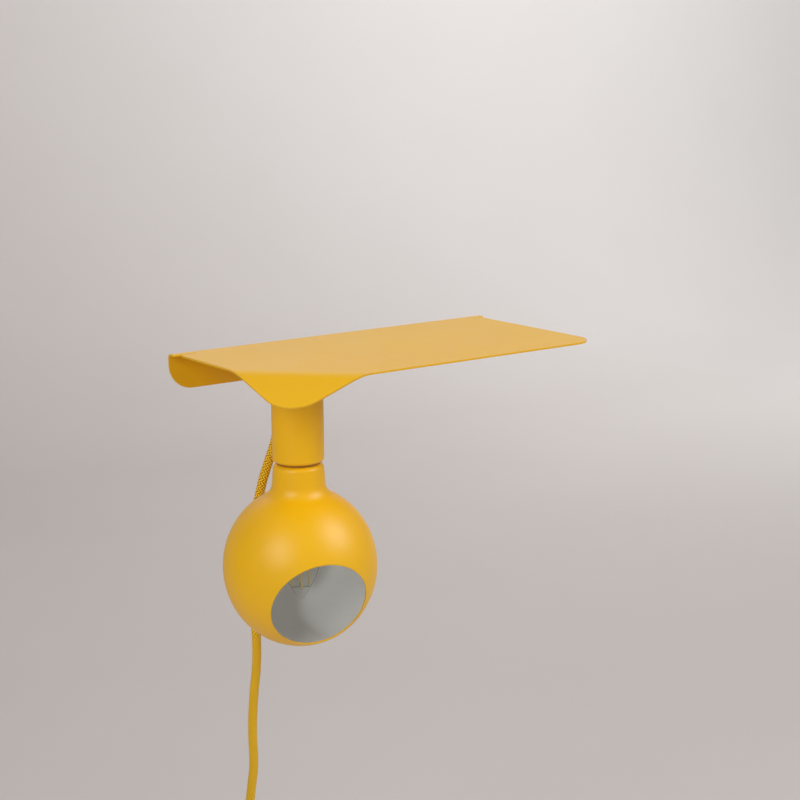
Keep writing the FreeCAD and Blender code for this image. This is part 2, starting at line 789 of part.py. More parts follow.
def make_coil():
    """Six turns of cord in two layers as one unbroken tube, with a straight end each side."""
    quarters = 4 * coil_turns
    marks = [coil_point(i / 4) for i in range(quarters + 1)]
    ways = [coil_way(i / 4) for i in range(quarters + 1)]
    edges = []
    for i in range(quarters):
        edges += biarc(marks[i], ways[i], marks[i + 1], ways[i + 1])
    first = marks[0] - ways[0] * cord_diameter
    last = marks[-1] + ways[-1] * cord_diameter
    path = Part.Wire([segment(first, marks[0])] + edges + [segment(marks[-1], last)])
    section = Part.Wire(Part.makeCircle(cord_diameter / 2, first, ways[0]))
    tube = path.makePipeShell([section], True, False)
    expected = math.pi * (cord_diameter / 2) ** 2 * path.Length
    samples = [coil_point(i / 48) for i in range(48 * coil_turns + 1)]
    count = len(samples)
    gap = min((samples[i] - samples[j]).Length for i in range(count) for j in range(i + 24, count))
    print(f"coil: length {path.Length:.1f}, volume {tube.Volume:.0f} of {expected:.0f}, "
          f"least gap {gap - cord_diameter:.2f}")
    return tube, first, last, path.Length


def make_coil_tie():
    """Band round the bundle of turns at the top of the coil."""
    to_top = (90.0 - coil_start) / 360.0
    heights = [coil_point(turn + to_top).z for turn in range(1, coil_turns + 1)]
    inner_turn = min(heights) - coil_middle.z
    sag = inner_turn - math.sqrt(inner_turn ** 2 - tie_width ** 2 / 4)
    reach = cord_diameter / 2 + 2 * free_gap
    low_z = min(heights) - reach - sag
    high_z = max(heights) + reach
    half_y = coil_pitch / 2 + reach
    x = coil_middle.x - tie_width / 2
    loops = []
    for grow in (tie_thickness, 0.0):
        near = coil_middle.y - half_y - grow
        far = coil_middle.y + half_y + grow
        corners = [V(x, near, low_z - grow), V(x, far, low_z - grow),
                   V(x, far, high_z + grow), V(x, near, high_z + grow)]
        loops.append(outline(corners, [2.0 + grow] * 4).extrude(V(tie_width, 0, 0)))
    return loops[0].cut(loops[1])


# ---------------------------------------------------------------- switch on the cord
def switch_box(inset, low, high):
    """Rounded block of the switch between two depths, measured out from its middle plane."""
    half_w = switch_width / 2 - inset
    half_l = switch_length / 2 - inset
    front = switch_middle() - V(0, low, 0)
    corners = [front + V(-half_w, 0, -half_l), front + V(half_w, 0, -half_l),
               front + V(half_w, 0, half_l), front + V(-half_w, 0, half_l)]
    return outline(corners, [switch_edge - inset] * 4).extrude(V(0, low - high, 0))


def switch_middle():
    return switch_top - V(0, 0, switch_length / 2)


def rocker_pivot():
    return switch_middle() - V(0, switch_depth / 2 - pivot_depth, 0)


def cord_passage():
    """Grooves for the cord at both ends of the switch, where it is gripped."""
    radius = cord_diameter / 2 + running
    return [Part.makeCylinder(radius, grip_length, switch_top, DOWN),
            Part.makeCylinder(radius, grip_length, switch_bottom, UP)]


def screw_places():
    """Middles of the two posts, beside the cord and opposite each other."""
    x = switch_width / 2 - switch_wall - post_radius - free_gap
    z = switch_length / 2 - grip_length
    return [switch_middle() + V(-x, 0, -z), switch_middle() + V(x, 0, z)]


def add_posts(half_box, length, way):
    """Half of the switch with its two hollow screw posts, from the middle plane outwards."""
    for place in screw_places():
        half_box = half_box.fuse(Part.makeCylinder(post_radius, length, place, way))
        half_box = half_box.cut(Part.makeCylinder(switch_screw + slack, length, place, way))
    return half_box


def make_switch_base():
    half = switch_depth / 2
    base = switch_box(0.0, -half, 0.0).cut(switch_box(switch_wall, switch_wall - half, 0.0))
    for groove in cord_passage():
        base = base.cut(groove)
    return add_posts(base, half - switch_wall, V(0, 1, 0))


def make_switch_cover():
    half = switch_depth / 2
    cover = switch_box(0.0, 0.0, half).cut(switch_box(switch_wall, 0.0, half - switch_wall))
    face_y = switch_top.y - half
    edges = [e for e in cover.Edges if abs(e.BoundBox.YMin - face_y) < 0.01 and e.BoundBox.YLength < 0.01]
    cover = cover.makeFillet(cover_edge, edges)
    for groove in cord_passage():
        cover = cover.cut(groove)
    wide = rocker_width + 2 * free_gap
    tall = rocker_length + 2 * free_gap
    corner = V(switch_top.x - wide / 2, face_y - switch_wall, switch_middle().z - tall / 2)
    cover = cover.cut(Part.makeBox(wide, 3 * switch_wall, tall, corner))
    pivot = rocker_pivot()
    for side in (-1, 1):
        ear_x = pivot.x + side * (wide + ear_thickness) / 2 - ear_thickness / 2
        ear_corner = V(ear_x, face_y + switch_wall, pivot.z - ear_depth)
        cover = cover.fuse(Part.makeBox(ear_thickness, ear_depth, 2 * ear_depth, ear_corner))
        eye_start = V(ear_x, pivot.y, pivot.z)
        cover = cover.cut(Part.makeCylinder(axle_radius + running, ear_thickness, eye_start, V(1, 0, 0)))
    cover = add_posts(cover, half - switch_wall, V(0, -1, 0))
    return cover.cut(switch_box(0.0, 0.0, slack))


def make_rocker():
    """Rocker with a dished face, tipped to the side that is on."""
    middle = switch_middle()
    pivot = rocker_pivot()
    x = middle.x - rocker_width / 2
    face_y = middle.y - switch_depth / 2 - rocker_rise
    back_y = pivot.y + 1.2 * axle_radius
    reach = rocker_length / 2 - rocker_play
    a = V(x, face_y, middle.z - reach)
    b = V(x, face_y + rocker_dish, middle.z)
    c = V(x, face_y, middle.z + reach)
    d = V(x, back_y, middle.z + rocker_heel)
    e = V(x, back_y, middle.z - rocker_heel)
    side = Part.Face(Part.Wire([arc(a, b, c), segment(c, d), segment(d, e), segment(e, a)]))
    stub = free_gap + ear_thickness - slack
    axle_start = V(x - stub, pivot.y, pivot.z)
    axle = Part.makeCylinder(axle_radius, rocker_width + 2 * stub, axle_start, V(1, 0, 0))
    rocker = side.extrude(V(rocker_width, 0, 0)).fuse(axle).removeSplitter()
    rocker.rotate(pivot, V(1, 0, 0), rocker_tilt)
    return rocker


def make_switch_screws():
    """Screws from the base's back through both pairs of posts."""
    sunk = V(0, switch_depth / 2 - switch_wall, 0)
    return Part.makeCompound([Part.makeCylinder(switch_screw, switch_screw_length, place + sunk, V(0, -1, 0))
                              for place in screw_places()])


# ---------------------------------------------------------------- plug
def make_plug():
    """Flat two-pin plug body, waisted towards its cord end."""
    loops = []
    stations = ((0.0, plug_neck, plug_neck), (plug_waist, plug_waist_width, plug_waist_depth),
                (plug_shoulder, plug_width, plug_depth), (plug_length, plug_width, plug_depth))
    for drop, wide, deep in stations:
        corner = plug_top - V(wide / 2, deep / 2, drop)
        corners = [corner, corner + V(wide, 0, 0), corner + V(wide, deep, 0), corner + V(0, deep, 0)]
        loops.append(outline(corners, [plug_edge] * 4).OuterWire)
    body = Part.makeLoft(loops, True, True)
    for place in pin_places():
        start = place + UP * (pin_root + slack)
        body = body.cut(Part.makeCylinder(pin_radius + slack, pin_root + slack, start, DOWN))
    return body


def pin_places():
    """Where the two pins leave the plug's face."""
    face = plug_top - V(0, 0, plug_length)
    return [face - V(pin_spacing / 2, 0, 0), face + V(pin_spacing / 2, 0, 0)]


def make_plug_pins():
    """Round pins, turned down by the sleeves' wall where they are sleeved, with rounded ends."""
    pins = []
    for place in pin_places():
        pin = Part.makeCylinder(pin_radius, pin_root + pin_length, place + UP * pin_root, DOWN)
        groove = Part.makeCylinder(pin_radius, sleeve_length, place, DOWN)
        core = Part.makeCylinder(pin_radius - sleeve_wall, sleeve_length, place, DOWN)
        pin = pin.cut(groove.cut(core))
        edges = [e for e in pin.Edges if abs(e.BoundBox.ZMax - (place.z - pin_length)) < 0.01]
        pins.append(pin.makeFillet(pin_edge, edges))
    return Part.makeCompound(pins)


def make_pin_sleeves():
    sleeves = []
    for place in pin_places():
        sleeve = Part.makeCylinder(pin_radius, sleeve_length, place, DOWN)
        bore = Part.makeCylinder(pin_radius - sleeve_wall + running, sleeve_length, place, DOWN)
        sleeves.append(sleeve.cut(bore))
    return Part.makeCompound(sleeves)


# ---------------------------------------------------------------- whole lamp
coil, coil_in, coil_out, coil_length = make_coil()
cord, cord_length = make_cord("cord", [bush_end] + cord_route + [switch_top])
lead, lead_length = make_cord("lead", [switch_bottom] + lead_route + [coil_in])
tail, tail_length = make_cord("tail", [coil_out] + tail_route + [plug_top])
print(f"whole cord {cord_length + switch_length + lead_length + coil_length + tail_length:.0f}")

nodes = {
    "shelf_plate": make_shelf(),
    "lamp_cup": make_cup(),
    "magnet_pad": make_magnet_pad(),
    "magnet_pot": make_magnet_pot(),
    "ring_magnet": make_ring_magnet(),
    "magnet_screw": make_magnet_screw(),
    "magnet_bridge": make_bridge(),
    "cord_bush": make_cord_bush(),
    "bush_nut": make_bush_nut(),
    "lampholder_body": make_holder_body(),
    "lampholder_cap": make_holder_cap(),
    "contact_block": make_contact_block(),
    "screw_shell": make_screw_shell(),
    "centre_contact": make_centre_contact(),
    "terminal_screws": make_terminal_screws(),
    "core_wires": make_core_wires(),
    "spacer_ring": make_spacer(),
    "shade": make_shade(),
    "shade_ring": make_shade_ring(),
    "bulb_cap": make_bulb_cap(),
    "bulb_tip": make_bulb_tip(),
    "bulb_glass": make_bulb_glass(),
    "bulb_stem": make_bulb_stem(),
    "filaments": make_filaments(),
    "filament_frame": make_filament_frame(),
    "cord": cord,
    "cord_lead": lead,
    "cord_coil": coil,
    "cord_tail": tail,
    "coil_tie": make_coil_tie(),
    "switch_base": make_switch_base(),
    "switch_cover": make_switch_cover(),
    "switch_rocker": make_rocker(),
    "switch_screws": make_switch_screws(),
    "plug_body": make_plug(),
    "plug_pins": make_plug_pins(),
    "pin_sleeves": make_pin_sleeves(),
}

os.makedirs("parts", exist_ok=True)
for name, shape in nodes.items():
    if not shape.isValid() or not shape.Solids:
        print("not a sound solid:", name)
    shape.exportStep(f"parts/{name}.step")
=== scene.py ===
"""Wall lamp with shelf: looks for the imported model, in the order in which the lamp is put together.

Metres. X runs along the wall, Y into the wall, Z up. The origin is the middle of the shelf's two wall
screw holes.
"""
import math

import bpy
import numpy as np
from mathutils import Matrix, Vector


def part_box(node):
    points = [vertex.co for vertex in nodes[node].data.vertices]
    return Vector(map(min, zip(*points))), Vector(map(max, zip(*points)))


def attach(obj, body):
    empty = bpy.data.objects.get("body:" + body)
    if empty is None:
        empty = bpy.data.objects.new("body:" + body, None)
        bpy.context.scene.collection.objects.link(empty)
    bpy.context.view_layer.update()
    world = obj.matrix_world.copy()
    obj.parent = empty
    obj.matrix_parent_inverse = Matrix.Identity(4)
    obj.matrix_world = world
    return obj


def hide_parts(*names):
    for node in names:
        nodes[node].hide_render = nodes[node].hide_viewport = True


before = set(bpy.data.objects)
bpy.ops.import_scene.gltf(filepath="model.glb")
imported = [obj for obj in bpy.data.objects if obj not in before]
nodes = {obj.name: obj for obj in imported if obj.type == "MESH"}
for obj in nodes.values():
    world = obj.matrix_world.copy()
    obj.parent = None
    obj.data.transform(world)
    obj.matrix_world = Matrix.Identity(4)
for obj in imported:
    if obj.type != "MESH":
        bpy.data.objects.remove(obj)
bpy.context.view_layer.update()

# ---------------------------------------------------------------- shelf
# One sheet of 1.5 mm steel, cut, bent at the wall and rolled down at one corner, then powder coated.
# The coat is satin, with faint clouds and smears and a fine pebble, and it lies thicker and rounder
# along the cut edges.
coat_yellow = "#EDB700"
coat_deep = "#E8AF00"
coat_cloud = 0.111
coat_smear = 0.025
coat_pebble = 0.0011         # real grain is about 0.5 mm; drawn twice as coarse so that it shows
coat_relief = 0.00012
coat_edge = 0.0005
coat_ior = 1.5


def linear(code):
    """sRGB hex colour as linear RGBA: ((c + 0.055) / 1.055) ^ 2.4 above 0.04045, c / 12.92 below."""
    channel = np.array([int(code[i:i + 2], 16) / 255 for i in (1, 3, 5)])
    low = channel / 12.92
    high = ((channel + 0.055) / 1.055) ** 2.4
    return (*np.where(channel <= 0.04045, low, high), 1.0)


def feed(node, inputs):
    """Sets a node's inputs: each is a value or another node's socket, which is linked."""
    for socket, value in inputs.items():
        if isinstance(value, bpy.types.NodeSocket):
            node.id_data.links.new(value, node.inputs[socket])
        else:
            node.inputs[socket].default_value = value


def add(finish, kind, inputs=None, **settings):
    """Adds one shader node to a finish, with its settings and inputs."""
    node = finish.node_tree.nodes.new("ShaderNode" + kind)
    for setting, value in settings.items():
        setattr(node, setting, value)
    feed(node, inputs or {})
    return node


def new_finish(name):
    """Empty material with its principled shader."""
    finish = bpy.data.materials.new(name)
    finish.use_nodes = True
    return finish


def surface(finish, inputs):
    """Sets the inputs of a finish's principled shader."""
    feed(finish.node_tree.nodes["Principled BSDF"], inputs)


def dress(finish, *names):
    """Gives CAD nodes their finish."""
    for name in names:
        nodes[name].material_slots[0].material = finish


def coat(finish, place):
    """Yellow powder coat: (colour in wide clouds, the clouds, normal with pebble and round edges)."""
    cloud = add(finish, "TexNoise", {"Vector": place, "Scale": 1 / coat_cloud, "Detail": 3.0})
    colour = add(finish, "MixRGB", {"Fac": cloud.outputs["Fac"], "Color1": linear(coat_deep),
                                    "Color2": linear(coat_yellow)})
    pebble = add(finish, "TexNoise", {"Vector": place, "Scale": 1 / coat_pebble, "Detail": 2.0})
    edge = add(finish, "Bevel", {"Radius": coat_edge}, samples=4)
    grain = add(finish, "Bump", {"Height": pebble.outputs["Fac"], "Strength": 0.22,
                                 "Distance": coat_relief, "Normal": edge.outputs["Normal"]})
    return colour.outputs["Color"], cloud.outputs["Fac"], grain.outputs["Normal"]


powder_coat = new_finish("powder coated steel, yellow")
place = add(powder_coat, "TexCoord").outputs["Object"]
yellow, _, pebbled = coat(powder_coat, place)
smear = add(powder_coat, "TexNoise", {"Vector": place, "Scale": 1 / coat_smear, "Detail": 4.0})
gloss = add(powder_coat, "MapRange", {"Value": smear.outputs["Fac"], "To Min": 0.36, "To Max": 0.46})
surface(powder_coat, {"Base Color": yellow, "Roughness": gloss.outputs["Result"], "Normal": pebbled,
                      "IOR": coat_ior})
dress(powder_coat, "shelf_plate")

# ---------------------------------------------------------------- magnet
# A ferrite ring in a zinc-plated steel pot, screwed to a turned steel bridge that is pressed into
# the cup, with a thin rubber pad between pot and shelf.
zinc_brush_width = 0.0004    # real brush lines are near 0.05 mm; drawn coarser so that they show
zinc_brush_length = 0.0083


def mottled(name, tones, spot, detail, roughness, metallic=0.0, relief=None):
    """Finish that wanders between two tones over spots of one size. The roughness is one value, or
    two that follow the spots. The relief is the strength and height of a bump on the same spots."""
    finish = new_finish(name)
    place = add(finish, "TexCoord").outputs["Object"]
    noise = add(finish, "TexNoise", {"Vector": place, "Scale": 1 / spot, "Detail": detail})
    spots = noise.outputs["Fac"]
    colour = add(finish, "MixRGB", {"Fac": spots, "Color1": linear(tones[0]),
                                    "Color2": linear(tones[1])})
    if isinstance(roughness, tuple):
        gloss = add(finish, "MapRange", {"Value": spots, "To Min": roughness[0],
                                         "To Max": roughness[1]})
        roughness = gloss.outputs["Result"]
    surface(finish, {"Base Color": colour.outputs["Color"], "Roughness": roughness,
                     "Metallic": metallic})
    if relief:
        grain = add(finish, "Bump", {"Height": spots, "Strength": relief[0], "Distance": relief[1]})
        surface(finish, {"Normal": grain.outputs["Normal"]})
    return finish


# The pad is matt and near black, with a little dust in its grain.
pad_rubber = mottled("natural rubber, black", ("#151515", "#232220"), spot=0.00143, detail=3.0,
                     roughness=0.8, relief=(0.3, 0.0001))
dress(pad_rubber, "magnet_pad")

# Zinc plate is bright, faintly blue and clouded, over the fine lines of the brushed steel.
zinc = mottled("zinc plated steel, brushed", ("#A9ADB0", "#C4C7C6"), spot=0.00625, detail=3.0,
               roughness=(0.28, 0.42), metallic=1.0)
place = add(zinc, "TexCoord").outputs["Object"]
streak = add(zinc, "Mapping", {"Vector": place, "Scale": (1 / zinc_brush_width, 1 / zinc_brush_width,
                                                          1 / zinc_brush_length)})
brush = add(zinc, "TexNoise", {"Vector": streak.outputs["Vector"], "Scale": 1.0, "Detail": 2.0})
grain = add(zinc, "Bump", {"Height": brush.outputs["Fac"], "Strength": 0.15, "Distance": 0.00005})
surface(zinc, {"Normal": grain.outputs["Normal"]})
dress(zinc, "magnet_pot", "magnet_screw", "magnet_bridge")

# Ground ferrite is near black with a dull glitter; its real grit is far finer than the 0.4 mm drawn.
ferrite = mottled("sintered ferrite, ground", ("#2A2A2C", "#3B3B3D"), spot=0.0004, detail=4.0,
                  roughness=0.55, metallic=0.4)
dress(ferrite, "ring_magnet")

# ---------------------------------------------------------------- cup
# Deep-drawn steel cup, coated as the shelf is. It is open at the top, where it meets the shelf, and
# its floor has the hole that the lampholder's sleeve goes down through.
dress(powder_coat, "lamp_cup")

# ---------------------------------------------------------------- lampholder
# Moulded thermoplastic sleeve and cap over an insulating block with stamped brass parts. The sleeve
# goes down through the cup's floor, and the ring nut on its thread holds the shade's neck up.
washer_mark_height = 0.00025
washer_mark_length = 0.0167

# PBT is matt black with a spark-eroded grain, really about 0.1 mm and drawn coarser so that it shows.
black_moulding = mottled("PBT, black, moulded", ("#17171A", "#222224"), spot=0.000556, detail=2.0,
                         roughness=0.5, relief=(0.25, 0.00008))
dress(black_moulding, "lampholder_body", "lampholder_cap", "bush_nut", "shade_ring")

# Steatite is off-white and faintly specked, with a dull glaze.
light_block = mottled("steatite, glazed edge", ("#DCD6C6", "#EDE8DB"), spot=0.00111, detail=5.0,
                      roughness=0.45)
dress(light_block, "contact_block")

# Stamped brass is yellow, slightly stained, and duller where the stains are.
stamped_brass = mottled("brass, stamped", ("#B08D45", "#D6B565"), spot=0.00455, detail=4.0,
                        roughness=(0.22, 0.4), metallic=1.0)
dress(stamped_brass, "screw_shell", "centre_contact", "terminal_screws")

# The cores' insulation is smooth brown PVC, a little uneven in tone.
core_brown = mottled("PVC core insulation, brown", ("#5A2E14", "#6B3A1B"), spot=0.00333, detail=2.0,
                     roughness=0.35)
dress(core_brown, "core_wires")

# Washer between cup and neck, turned from amber nylon: seen only as a thin dark line in the gap.
# Its dark amber is partly its own colour and partly painted shade for the shadowed gap.
gap_shade_amber_nylon = new_finish("nylon, dark amber, turned")
place = add(gap_shade_amber_nylon, "TexCoord").outputs["Object"]
turned = add(gap_shade_amber_nylon, "Mapping", {"Vector": place,
                                      "Scale": (1 / washer_mark_length, 1 / washer_mark_length,
                                                1 / washer_mark_height)})
marks = add(gap_shade_amber_nylon, "TexNoise", {"Vector": turned.outputs["Vector"], "Scale": 1.0,
                                      "Detail": 2.0})
colour = add(gap_shade_amber_nylon, "MixRGB", {"Fac": marks.outputs["Fac"], "Color1": linear("#966008"),
                                     "Color2": linear("#A86E0C")})
grain = add(gap_shade_amber_nylon, "Bump", {"Height": marks.outputs["Fac"], "Strength": 0.2,
                                  "Distance": 0.00005})
surface(gap_shade_amber_nylon, {"Base Color": colour.outputs["Color"], "Normal": grain.outputs["Normal"],
                      "Roughness": 0.45, "IOR": 1.53})
dress(gap_shade_amber_nylon, "spacer_ring")

# ---------------------------------------------------------------- shade
# Spun steel globe, cut open at one side: coated outside as the shelf is, matt white enamel inside.
# The yellow runs over the cut edge of the mouth, so the white begins at the inner skin. The white is
# set higher than an enamel's, because the render follows few bounces of light in the hollow.
globe_middle = Vector((-0.091, -0.085, -0.1468))
inside_white = "#FEFEFC"
inside_grey = "#FAFAF6"
inner_facing = -0.8          # the inner skin faces the globe's middle, the cut edge lies across

shade_coat = new_finish("powder coated steel, yellow outside and white inside")
coordinates = add(shade_coat, "TexCoord")
place = coordinates.outputs["Object"]
yellow, cloud, pebbled = coat(shade_coat, place)
white = add(shade_coat, "MixRGB", {"Fac": cloud, "Color1": linear(inside_grey),
                                   "Color2": linear(inside_white)})
outward = add(shade_coat, "VectorMath", {0: place, 1: globe_middle}, operation="SUBTRACT")
outward = add(shade_coat, "VectorMath", {0: outward.outputs["Vector"]}, operation="NORMALIZE")
facing = add(shade_coat, "VectorMath", {0: outward.outputs["Vector"],
                                        1: coordinates.outputs["Normal"]}, operation="DOT_PRODUCT")
inner = add(shade_coat, "Math", {0: facing.outputs["Value"], 1: inner_facing}, operation="LESS_THAN")
colour = add(shade_coat, "MixRGB", {"Fac": inner.outputs["Value"], "Color1": yellow,
                                    "Color2": white.outputs["Color"]})
gloss = add(shade_coat, "MapRange", {"Value": inner.outputs["Value"], "To Min": 0.41,
                                     "To Max": 0.75})
surface(shade_coat, {"Base Color": colour.outputs["Color"], "Roughness": gloss.outputs["Result"],
                     "Normal": pebbled, "IOR": coat_ior})
dress(shade_coat, "shade")

# ---------------------------------------------------------------- bulb
# Clear blown candle bulb with four long filaments on a wire cage, a rolled nickel-plated cap and a
# black glass foot. It is unlit, so the filaments show their yellow phosphor.
glass_ripple = 0.0167

# Soda-lime glass is colourless and smooth, with a slow ripple from blowing. Its index is far below
# the real 1.52, because the photograph shows the filaments and next to no outline of the glass.
clear_glass = new_finish("soda-lime glass, clear")
place = add(clear_glass, "TexCoord").outputs["Object"]
ripple = add(clear_glass, "TexNoise", {"Vector": place, "Scale": 1 / glass_ripple, "Detail": 1.0})
waver = add(clear_glass, "Bump", {"Height": ripple.outputs["Fac"], "Strength": 0.05,
                                  "Distance": 0.0002})
surface(clear_glass, {"Base Color": linear("#FBFCFA"), "Transmission Weight": 1.0, "Roughness": 0.0,
                      "IOR": 1.02, "Normal": waver.outputs["Normal"]})
dress(clear_glass, "bulb_glass", "bulb_stem")

# Nickel plate is a warm bright grey with faint stains.
nickel = mottled("nickel plated cap, rolled", ("#B9B7B0", "#D2D0C9"), spot=0.00385, detail=4.0,
                 roughness=(0.18, 0.32), metallic=1.0)
dress(nickel, "bulb_cap", "filament_frame")

# Vitrite is glossy black glass with a faint swirl.
foot_glass = mottled("vitrite, black glass", ("#0B0B0D", "#19191C"), spot=0.002, detail=2.0,
                     roughness=0.12)
dress(foot_glass, "bulb_tip")

# Silicone full of phosphor is pale yellow, matt and lumpy.
phosphor = mottled("silicone with yellow phosphor", ("#FFDC8C", "#FFE9B0"), spot=0.000714,
                   detail=2.0, roughness=0.5, relief=(0.4, 0.0001))
dress(phosphor, "filaments")

# ---------------------------------------------------------------- bush, switch and plug
# Injection-moulded ABS in the cord's colour: gloss a little uneven from the flow, with soft edges.
# The bush is clamped in the cup's back by a nut, and the switch is two halves screwed together.
abs_grain = 0.000625         # real grain is about 0.1 mm; drawn coarser so that it shows
abs_edge = 0.0004

yellow_abs = mottled("ABS, yellow, moulded", ("#E4A808", "#EBB110"), spot=0.0286, detail=2.0,
                     roughness=(0.24, 0.34))
place = add(yellow_abs, "TexCoord").outputs["Object"]
spark = add(yellow_abs, "TexNoise", {"Vector": place, "Scale": 1 / abs_grain, "Detail": 2.0})
edge = add(yellow_abs, "Bevel", {"Radius": abs_edge}, samples=4)
grain = add(yellow_abs, "Bump", {"Height": spark.outputs["Fac"], "Strength": 0.12,
                                 "Distance": 0.00006, "Normal": edge.outputs["Normal"]})
surface(yellow_abs, {"Normal": grain.outputs["Normal"]})
dress(yellow_abs, "cord_bush", "switch_base", "switch_cover", "switch_rocker", "plug_body")
dress(zinc, "switch_screws")
dress(nickel, "plug_pins")
dress(black_moulding, "pin_sleeves")

# ---------------------------------------------------------------- cord
# Round two-core cord with a yellow textile braid, 7.4 mm across and 2.06 m long: out of the bush,
# down behind the globe, through the switch and into a tied coil of two layers that ends in the plug.
# The first four points of its route are placed by the photograph, where the cord leaves the cup.
cord_diameter = 0.0074
cord_sides = 20
coil_outer = 0.0515
coil_pitch = 0.008
coil_turns = 6
coil_start = 150.0           # heading of the first point, in degrees from +X towards +Z
coil_steps = 24              # points to a turn
coil_rounding = 0.1          # turns over which the radius stops shrinking and grows again
coil_crossing = 0.25         # turns each side of the middle over which the layer changes
coil_middle = np.array([-0.089, -0.0169, -0.54575])
bush_end = (-0.091, -0.05954, -0.03961)
cord_route = [
    (-0.0908, -0.0545, -0.0466), (-0.0900, -0.0490, -0.0580), (-0.0906, -0.0408, -0.0730),
    (-0.0920, -0.0338, -0.0890), (-0.0931, -0.0284, -0.1060), (-0.0939, -0.0220, -0.1240),
    (-0.0945, -0.0188, -0.1440), (-0.0951, -0.0178, -0.1660), (-0.0956, -0.0204, -0.1900),
    (-0.0954, -0.0236, -0.2160), (-0.0956, -0.0244, -0.2440), (-0.0978, -0.0206, -0.2760),
    (-0.0987, -0.0186, -0.3080), (-0.0971, -0.0184, -0.3360), (-0.1000, -0.0160, -0.3620),
    (-0.1020, -0.0152, -0.3840), (-0.1020, -0.0152, -0.4420)]
lead_route = [
    (-0.1024, -0.0151, -0.4560), (-0.1066, -0.0144, -0.4700), (-0.1138, -0.0136, -0.4840),
    (-0.1222, -0.0129, -0.4991)]
tail_route = [
    (-0.1450, -0.0209, -0.5387), (-0.1516, -0.0196, -0.5526), (-0.1554, -0.0184, -0.5684),
    (-0.1554, -0.0184, -0.5844)]


def coil_points():
    """Coil's centre line, in along the layer at the wall and out again along the front one:
    radius = outer - pitch * (turns / 2 - distance from the middle turn), rounded at the middle,
    where the line crosses from layer to layer on half a sine wave."""
    turn = np.arange(coil_turns * coil_steps + 1) / coil_steps
    from_middle = turn - coil_turns / 2
    radius = coil_outer - coil_pitch * (coil_turns / 2 - np.hypot(from_middle, coil_rounding))
    angle = np.radians(coil_start + 360 * turn)
    crossed = np.clip(from_middle / coil_crossing, -1, 1)
    layer = 0.5 * coil_pitch * np.sin(np.pi / 2 * crossed)
    return coil_middle + np.stack([radius * np.cos(angle), -layer, radius * np.sin(angle)], axis=1)


# The cord's line is the NURBS spline of its route, and the skin follows points read back from it.
route = np.vstack([[bush_end], cord_route, lead_route, coil_points(), tail_route])
line = bpy.data.curves.new("cord_line", "CURVE")
line.dimensions = "3D"
line.resolution_u = 8
spline = line.splines.new("NURBS")
spline.points.add(len(route) - 1)
spline.points.foreach_set("co", np.hstack([route, np.ones((len(route), 1))]).ravel())
spline.order_u = 3
spline.use_endpoint_u = True
line_object = bpy.data.objects.new("cord_line", line)
bpy.context.scene.collection.objects.link(line_object)
bpy.context.view_layer.update()
followed = bpy.data.meshes.new_from_object(line_object.evaluated_get(
    bpy.context.evaluated_depsgraph_get()))
cord_path = np.zeros(len(followed.vertices) * 3)
followed.vertices.foreach_get("co", cord_path)
cord_path = cord_path.reshape(-1, 3)
bpy.data.objects.remove(line_object)


def sweep(name, path, axis, section):
    """Closed skin along a path: point(i, j) = path(i) + side(i) * section(j, 0) + up(i) * section(j, 1),
    with side = way x axis and up = side x way. A section that turns from side to up faces outwards."""
    way = np.gradient(path, axis=0)
    way /= np.linalg.norm(way, axis=1)[:, None]
    side = np.cross(way, axis)
    side /= np.linalg.norm(side, axis=1)[:, None]
    up = np.cross(side, way)
    rings = (path[:, None, :] + side[:, None, :] * section[None, :, 0, None]
             + up[:, None, :] * section[None, :, 1, None])
    count, sides = rings.shape[:2]
    i, j = np.divmod(np.arange((count - 1) * sides), sides)
    k = (j + 1) % sides
    quads = np.stack([i * sides + j, (i + 1) * sides + j, (i + 1) * sides + k, i * sides + k], axis=1)
    first_cap = np.arange(sides)
    last_cap = (count - 1) * sides + first_cap[::-1]
    mesh = bpy.data.meshes.new(name)
    mesh.from_pydata(rings.reshape(-1, 3).tolist(), [],
                     quads.tolist() + [first_cap.tolist(), last_cap.tolist()])
    mesh.shade_smooth()
    piece = bpy.data.objects.new(name, mesh)
    bpy.context.scene.collection.objects.link(piece)
    return piece


angle = np.linspace(0, 2 * np.pi, cord_sides, endpoint=False)
section = np.stack([np.cos(angle), np.sin(angle)], axis=1) * cord_diameter / 2
cord = sweep("braided_cord", cord_path, [0.0, 1.0, 0.0], section)

# UV map: u goes once round the cord, and v is the length along it in metres. The caps lie at zero.
steps = np.linalg.norm(np.diff(cord_path, axis=0), axis=1)
arc_length = np.concatenate([[0.0], np.cumsum(steps)])
i, j = np.divmod(np.arange((len(cord_path) - 1) * cord_sides), cord_sides)
u = np.stack([j, j, j + 1, j + 1], axis=1) / cord_sides
v = arc_length[np.stack([i, i + 1, i + 1, i], axis=1)]
skin_uv = np.stack([u.ravel(), v.ravel()], axis=1)
cap_uv = np.zeros((2 * cord_sides, 2))
cord.data.uv_layers.new(name="UVMap").data.foreach_set("uv", np.vstack([skin_uv, cap_uv]).ravel())

# Rayon braid is bright and slightly silky: two sets of yarns cross at 45 degrees, each over two and
# under two. Its colour carries a painted highlight on top of every float and painted shade in the pit at
# every crossing.
carriers = 8                 # yarns each way round; a real braid has 16, too fine to show
yarn_pitch = math.pi * cord_diameter / carriers
floats = 4                   # yarns in a repeat: two over and two under
last_two = 0.4               # of the repeat's places 0, 0.25, 0.5 and 0.75, the ones above this
fuzz_size = 0.001111
# Colours of the painted highlight on the yarn tops and the painted shade between the yarns.
painted_highlight_yellow = "#FFCA20"
painted_shade_brown = "#603800"

